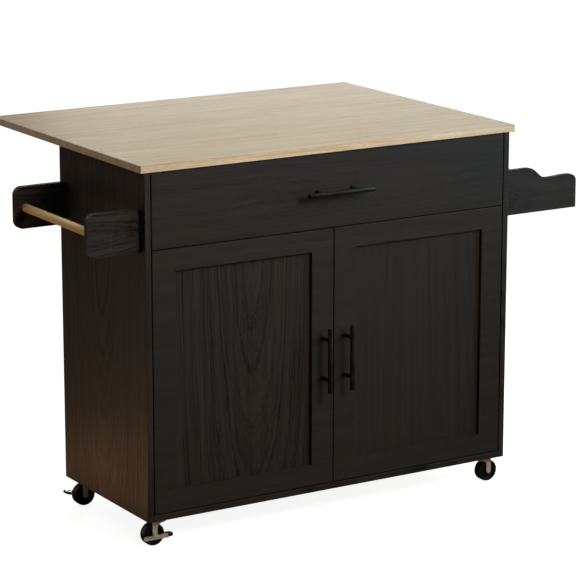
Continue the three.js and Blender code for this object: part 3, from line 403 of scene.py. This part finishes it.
def finished(name, parts, material, body, replaced=()):
    """One piece from one or more bmeshes, smooth up to the crease angle, riding on a body."""
    mesh = bpy.data.meshes.new(name)
    whole = bmesh.new()
    for part in parts:
        single = bpy.data.meshes.new("part")
        part.to_mesh(single)
        part.free()
        whole.from_mesh(single)
        bpy.data.meshes.remove(single)
    whole.to_mesh(mesh)
    whole.free()
    mesh.polygons.foreach_set("use_smooth", [True] * len(mesh.polygons))
    mesh.set_sharp_from_angle(angle=math.radians(CREASE_DEGREES))
    mesh.materials.append(material)
    piece = bpy.data.objects.new(name, mesh)
    bpy.context.scene.collection.objects.link(piece)
    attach(piece, body)
    if replaced:
        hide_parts(*replaced)


def rod_profile(radius, length, ease):
    """The profile of a rod centred on its middle, with both ends eased."""
    half = length / 2
    middle = EASE_MIDDLE * ease
    return [(0.0, -half), (radius - ease, -half), (radius - middle, -half + middle),
            (radius, -half + ease), (radius, half - ease), (radius - middle, half - middle),
            (radius - ease, half), (0.0, half)]


# ---- bar pulls ----
PULL_POST_SPACING = 96 * MM
PULL_POST_RADIUS = 4.5 * MM
PULL_FOOT_RADIUS = 5.6 * MM
PULL_FOOT_HEIGHT = 1.6 * MM
PULL_EASE = 0.7 * MM
PULL_POST_STEPS = 40


def pull(node, axis, body):
    """A bar pull along X or Z: a rod and two posts, each with a foot, in place of the node."""
    low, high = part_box(node)
    width, height = high.x - low.x, high.z - low.z
    radius = (width if axis == "Z" else height) / 2
    length = height if axis == "Z" else width
    middle = (low + high) / 2
    bar_centre = Vector((middle.x, low.y + radius, middle.z))
    parts = [turned(rod_profile(radius, length, PULL_EASE), axis, bar_centre)]
    reach = high.y - bar_centre.y
    post = [(0.0, 0.0), (PULL_POST_RADIUS, 0.0), (PULL_POST_RADIUS, reach - 2 * PULL_FOOT_HEIGHT),
            (PULL_FOOT_RADIUS, reach - PULL_FOOT_HEIGHT), (PULL_FOOT_RADIUS, reach), (0.0, reach)]
    direction = Vector((1, 0, 0)) if axis == "X" else Vector((0, 0, 1))
    for end in (-1, 1):
        foot = bar_centre + direction * end * PULL_POST_SPACING / 2
        parts.append(turned(post, "Y", foot, PULL_POST_STEPS))
    finished(f"{node}_smooth", parts, black_metal, body, (node,))


pull("drawer_handle", "X", "drawer")
pull("door_handle_left", "Z", "door_left")
pull("door_handle_right", "Z", "door_right")

# ---- towel bar ----
TOWEL_BAR_EASE = 0.8 * MM

bar_low, bar_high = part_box("towel_bar")
bar_profile = rod_profile((bar_high.x - bar_low.x) / 2, bar_high.y - bar_low.y, TOWEL_BAR_EASE)
finished("towel_bar_smooth", [turned(bar_profile, "Y", (bar_low + bar_high) / 2)],
         birch, "cabinet", ("towel_bar",))

# ---- wheels ----
WHEEL_BORE = 3.4 * MM
WHEEL_HUB = 9 * MM
WHEEL_HUB_PROUD = 1.2 * MM
WHEEL_HUB_EASE = 0.6 * MM
WHEEL_HUB_SLOPE = 1.0 * MM
WHEEL_RIM = 7 * MM
WHEEL_RIM_FOOT = 1.4 * MM
WHEEL_RIM_EASE = 0.4 * MM
WHEEL_RIM_LIP = 0.2 * MM
WHEEL_DISH = 2 * MM
# The rounded shoulder, from the face to the crowned tread: in from the radius and down from
# the face, in millimetres.
WHEEL_SHOULDER = ((1.7, 0.0), (0.9, 0.25), (0.4, 0.8), (0.25, 1.7))


def wheel_profile(radius, half):
    """A dished wheel with a hub, a raised rim and a slightly crowned tread, top to bottom."""
    rim = radius - WHEEL_RIM
    upper = [
        (WHEEL_BORE, half + WHEEL_HUB_PROUD),
        (WHEEL_HUB - WHEEL_HUB_EASE, half + WHEEL_HUB_PROUD),
        (WHEEL_HUB, half + WHEEL_HUB_PROUD - WHEEL_HUB_EASE),
        (WHEEL_HUB + WHEEL_HUB_SLOPE, half - WHEEL_DISH),
        (rim - WHEEL_RIM_FOOT, half - WHEEL_DISH),
        (rim - WHEEL_RIM_EASE, half - WHEEL_RIM_EASE),
        (rim + WHEEL_RIM_LIP, half),
        *((radius - inward * MM, half - down * MM) for inward, down in WHEEL_SHOULDER),
    ]
    return [*upper, (radius, 0.0), *((r, -h) for r, h in reversed(upper))]


for where in CASTERS:
    node = f"caster_wheel_{where}"
    low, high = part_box(node)
    half_width = (high.y - low.y) / 2 - WHEEL_HUB_PROUD
    profile = wheel_profile((high.z - low.z) / 2, half_width)
    finished(f"wheel_{where}", [turned(profile, "Y", (low + high) / 2)], wheel_black, f"wheel_{where}",
             (node,))

# ---- brake pedals ----
# Lengths along the lever and across it are from the axle, as in the lever itself.
PEDAL_START = 29 * MM
PEDAL_END = 47 * MM
PEDAL_NEAR = -16.9 * MM
PEDAL_FAR = 1.1 * MM
PEDAL_CORNER = 5 * MM
PEDAL_LEVEL = -5.5 * MM
PEDAL_THICKNESS = 5 * MM
SLEEVE = 1.0 * MM
SLEEVE_SETBACK = 4 * MM
SLEEVE_START = PEDAL_START + SLEEVE_SETBACK
SLEEVE_EASE = 1.2 * MM


def slab(outline, low, high, ease):
    """A closed flat piece with its edges eased: outline is convex, a list of (x, y)."""
    made = bmesh.new()
    middle = Vector((sum(x for x, _ in outline), sum(y for _, y in outline))) / len(outline)
    rings = []
    for height, inset in ((low, ease), (low + ease, 0.0), (high - ease, 0.0), (high, ease)):
        ring = []
        for x, y in outline:
            away = Vector((x, y)) - middle
            spot = middle + away * (1 - inset / away.length)
            ring.append(made.verts.new((spot.x, spot.y, height)))
        rings.append(ring)
    for low_ring, high_ring in zip(rings, rings[1:]):
        for i in range(len(outline)):
            after = (i + 1) % len(outline)
            made.faces.new((low_ring[i], low_ring[after], high_ring[after], high_ring[i]))
    made.faces.new(rings[0])
    made.faces.new(rings[-1])
    bmesh.ops.recalc_face_normals(made, faces=made.faces)
    return made


def pedal_sleeve(where, turn):
    """The black sleeve over a brake lever's pedal, turned about the wheel's axle."""
    low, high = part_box(f"caster_wheel_{where}")
    end = PEDAL_END + SLEEVE
    near = PEDAL_NEAR - SLEEVE
    far = PEDAL_FAR + SLEEVE
    outline = [(SLEEVE_START, near), (end - PEDAL_CORNER, near), (end, near + PEDAL_CORNER),
               (end, far - PEDAL_CORNER), (end - PEDAL_CORNER, far), (SLEEVE_START, far)]
    half = PEDAL_THICKNESS / 2 + SLEEVE
    sleeve = slab(outline, PEDAL_LEVEL - half, PEDAL_LEVEL + half, SLEEVE_EASE)
    bmesh.ops.transform(sleeve, matrix=Matrix.Translation((low + high) / 2) @ turn, verts=sleeve.verts)
    finished(f"pedal_sleeve_{where}", [sleeve], pedal_black, f"brake_{where}")


RAISED_BRAKE_DEGREES = 20
pedal_sleeve("front_left", Matrix.Identity(4))
pedal_sleeve("rear_left", Matrix.Rotation(math.pi, 4, "Z")
             @ Matrix.Rotation(-math.radians(RAISED_BRAKE_DEGREES), 4, "Y"))

# ---- stage, light and camera ----
FLOOR_SIZE = 80.0
FLOOR_WHITE = 0.45
FLOOR_GLOW = 0.89
FLOOR_ROUGHNESS = 0.9
ROOM_FLOOR = (0.20, 0.13, 0.08, 1)
CAMERA_WORLD = 1.15
BRIGHT_SIDE = (0.62, 0.42, 0.66)
DIM_TURN = -0.6
BRIGHT_TURN = 1.0
DIM_FILL = 0.01
BRIGHT_FILL = 0.45
COOL = (0.42, 0.77, 1.0)
SOFT_WARM = (1.0, 0.81, 0.64)
GLOW = (1.0, 0.5, 0.2)
SOFTBOX_SPREAD = 1.57


def make_floor():
    """White to the camera alone, with the shadow on it. All other rays find it brown."""
    bpy.ops.mesh.primitive_plane_add(size=FLOOR_SIZE, location=(0, 0, 0))
    floor = bpy.context.object
    floor.name = "floor"
    shader = Shader("pale_floor")
    seen = shader.node("ShaderNodeLightPath").outputs["Is Camera Ray"]
    white = (FLOOR_WHITE, FLOOR_WHITE, FLOOR_WHITE, 1)
    shader.feed(shader.surface.inputs["Base Color"], shader.blend(seen, ROOM_FLOOR, white))
    shader.surface.inputs["Roughness"].default_value = FLOOR_ROUGHNESS
    shader.surface.inputs["Specular IOR Level"].default_value = 0.0
    shader.surface.inputs["Emission Color"].default_value = (1, 1, 1, 1)
    shader.feed(shader.surface.inputs["Emission Strength"], shader.math("MULTIPLY", seen, FLOOR_GLOW))
    floor.data.materials.append(shader.material)


def make_world():
    """White to the camera alone. All other rays find it dim left, brighter right and back."""
    world = bpy.data.worlds.new("studio")
    bpy.context.scene.world = world
    world.use_nodes = True
    tree = world.node_tree
    background = tree.nodes["Background"]
    path = tree.nodes.new("ShaderNodeLightPath")
    place = tree.nodes.new("ShaderNodeTexCoord")
    bright_side = tree.nodes.new("ShaderNodeVectorMath")
    bright_side.operation = "DOT_PRODUCT"
    bright_side.inputs[1].default_value = BRIGHT_SIDE
    tree.links.new(place.outputs["Generated"], bright_side.inputs[0])
    fill = tree.nodes.new("ShaderNodeMapRange")
    fill.inputs["From Min"].default_value = DIM_TURN
    fill.inputs["From Max"].default_value = BRIGHT_TURN
    fill.inputs["To Min"].default_value = DIM_FILL
    fill.inputs["To Max"].default_value = BRIGHT_FILL
    tree.links.new(bright_side.outputs["Value"], fill.inputs["Value"])
    strength = tree.nodes.new("ShaderNodeMix")
    strength.inputs["B"].default_value = CAMERA_WORLD
    tree.links.new(path.outputs["Is Camera Ray"], strength.inputs["Factor"])
    tree.links.new(fill.outputs["Result"], strength.inputs["A"])
    background.inputs["Color"].default_value = (1, 1, 1, 1)
    tree.links.new(strength.outputs["Result"], background.inputs["Strength"])


def lamp(kind, name, place, target, colour, settings, mirrored=True):
    """A lamp aimed at a target, unseen by the camera, and by glossy rays if not mirrored."""
    data = bpy.data.lights.new(name, kind)
    data.color = colour
    for key, value in settings.items():
        setattr(data, key, value)
    holder = bpy.data.objects.new(name, data)
    holder.location = place
    holder.rotation_euler = (Vector(target) - Vector(place)).to_track_quat("-Z", "Y").to_euler()
    holder.visible_camera = False
    holder.visible_glossy = mirrored
    bpy.context.scene.collection.objects.link(holder)


make_floor()
make_world()
lamp("SUN", "even_daylight", (3.0, -3.6, 3.4), (0, 0, 0.4), (1, 1, 1), {"energy": 0.15, "angle": 0.9})
lamp("AREA", "key_softbox", (1.9, -1.4, 1.6), (0.4, -0.2, 1.4), COOL,
     {"energy": 9.8, "size": 1.0, "spread": SOFTBOX_SPREAD})
lamp("AREA", "front_softbox", (0.35, -2.8, 2.1), (-0.3, 0, 1.5), SOFT_WARM,
     {"energy": 21, "size": 1.0, "spread": SOFTBOX_SPREAD}, mirrored=False)
lamp("AREA", "back_softbox", (1.5, 2.4, 1.3), (0.2, 0.1, 0.85), (1.0, 0.94, 0.82),
     {"energy": 9, "shape": "RECTANGLE", "size": 1.7, "size_y": 0.5})
lamp("AREA", "back_left_softbox", (-1.5, 1.6, 2.3), (-0.5, 0, 0.8), SOFT_WARM, {"energy": 4, "size": 1.2})
lamp("AREA", "left_floor_bounce", (-1.6, 0.35, 0.05), (-0.5, 0, 0.45), SOFT_WARM,
     {"energy": 2.6, "size": 0.6})
lamp("AREA", "warm_floor_glow", (-0.80, 0.10, 0.02), (-0.80, 0.10, 1.0), GLOW,
     {"energy": 0.68, "shape": "RECTANGLE", "size": 0.36, "size_y": 0.66})
lamp("AREA", "right_fill", (2.6, 0.5, 0.8), (0.5, 0.0, 0.5), SOFT_WARM,
     {"energy": 7, "size": 0.9, "spread": SOFTBOX_SPREAD})
lamp("AREA", "back_fill", (1.8, 2.8, 0.45), (0.0, 0.36, 0.45), (1, 1, 1),
     {"energy": 12, "size": 0.9, "spread": SOFTBOX_SPREAD})

CAMERA_PLACE = (-3.2789, -5.4406, 2.0077)
CAMERA_TURN_DEGREES = 31.460
CAMERA_TILT_DEGREES = 13.529
CAMERA_LENS_MM = 165.30
SENSOR_WIDTH_MM = 36

lens = bpy.data.cameras.new("camera")
lens.sensor_width = SENSOR_WIDTH_MM
lens.lens = CAMERA_LENS_MM
camera = bpy.data.objects.new("camera", lens)
camera.location = CAMERA_PLACE
camera.rotation_euler = (math.radians(90 - CAMERA_TILT_DEGREES), 0, math.radians(-CAMERA_TURN_DEGREES))
bpy.context.scene.collection.objects.link(camera)
bpy.context.scene.camera = camera
bpy.context.scene.view_settings.view_transform = "Standard"
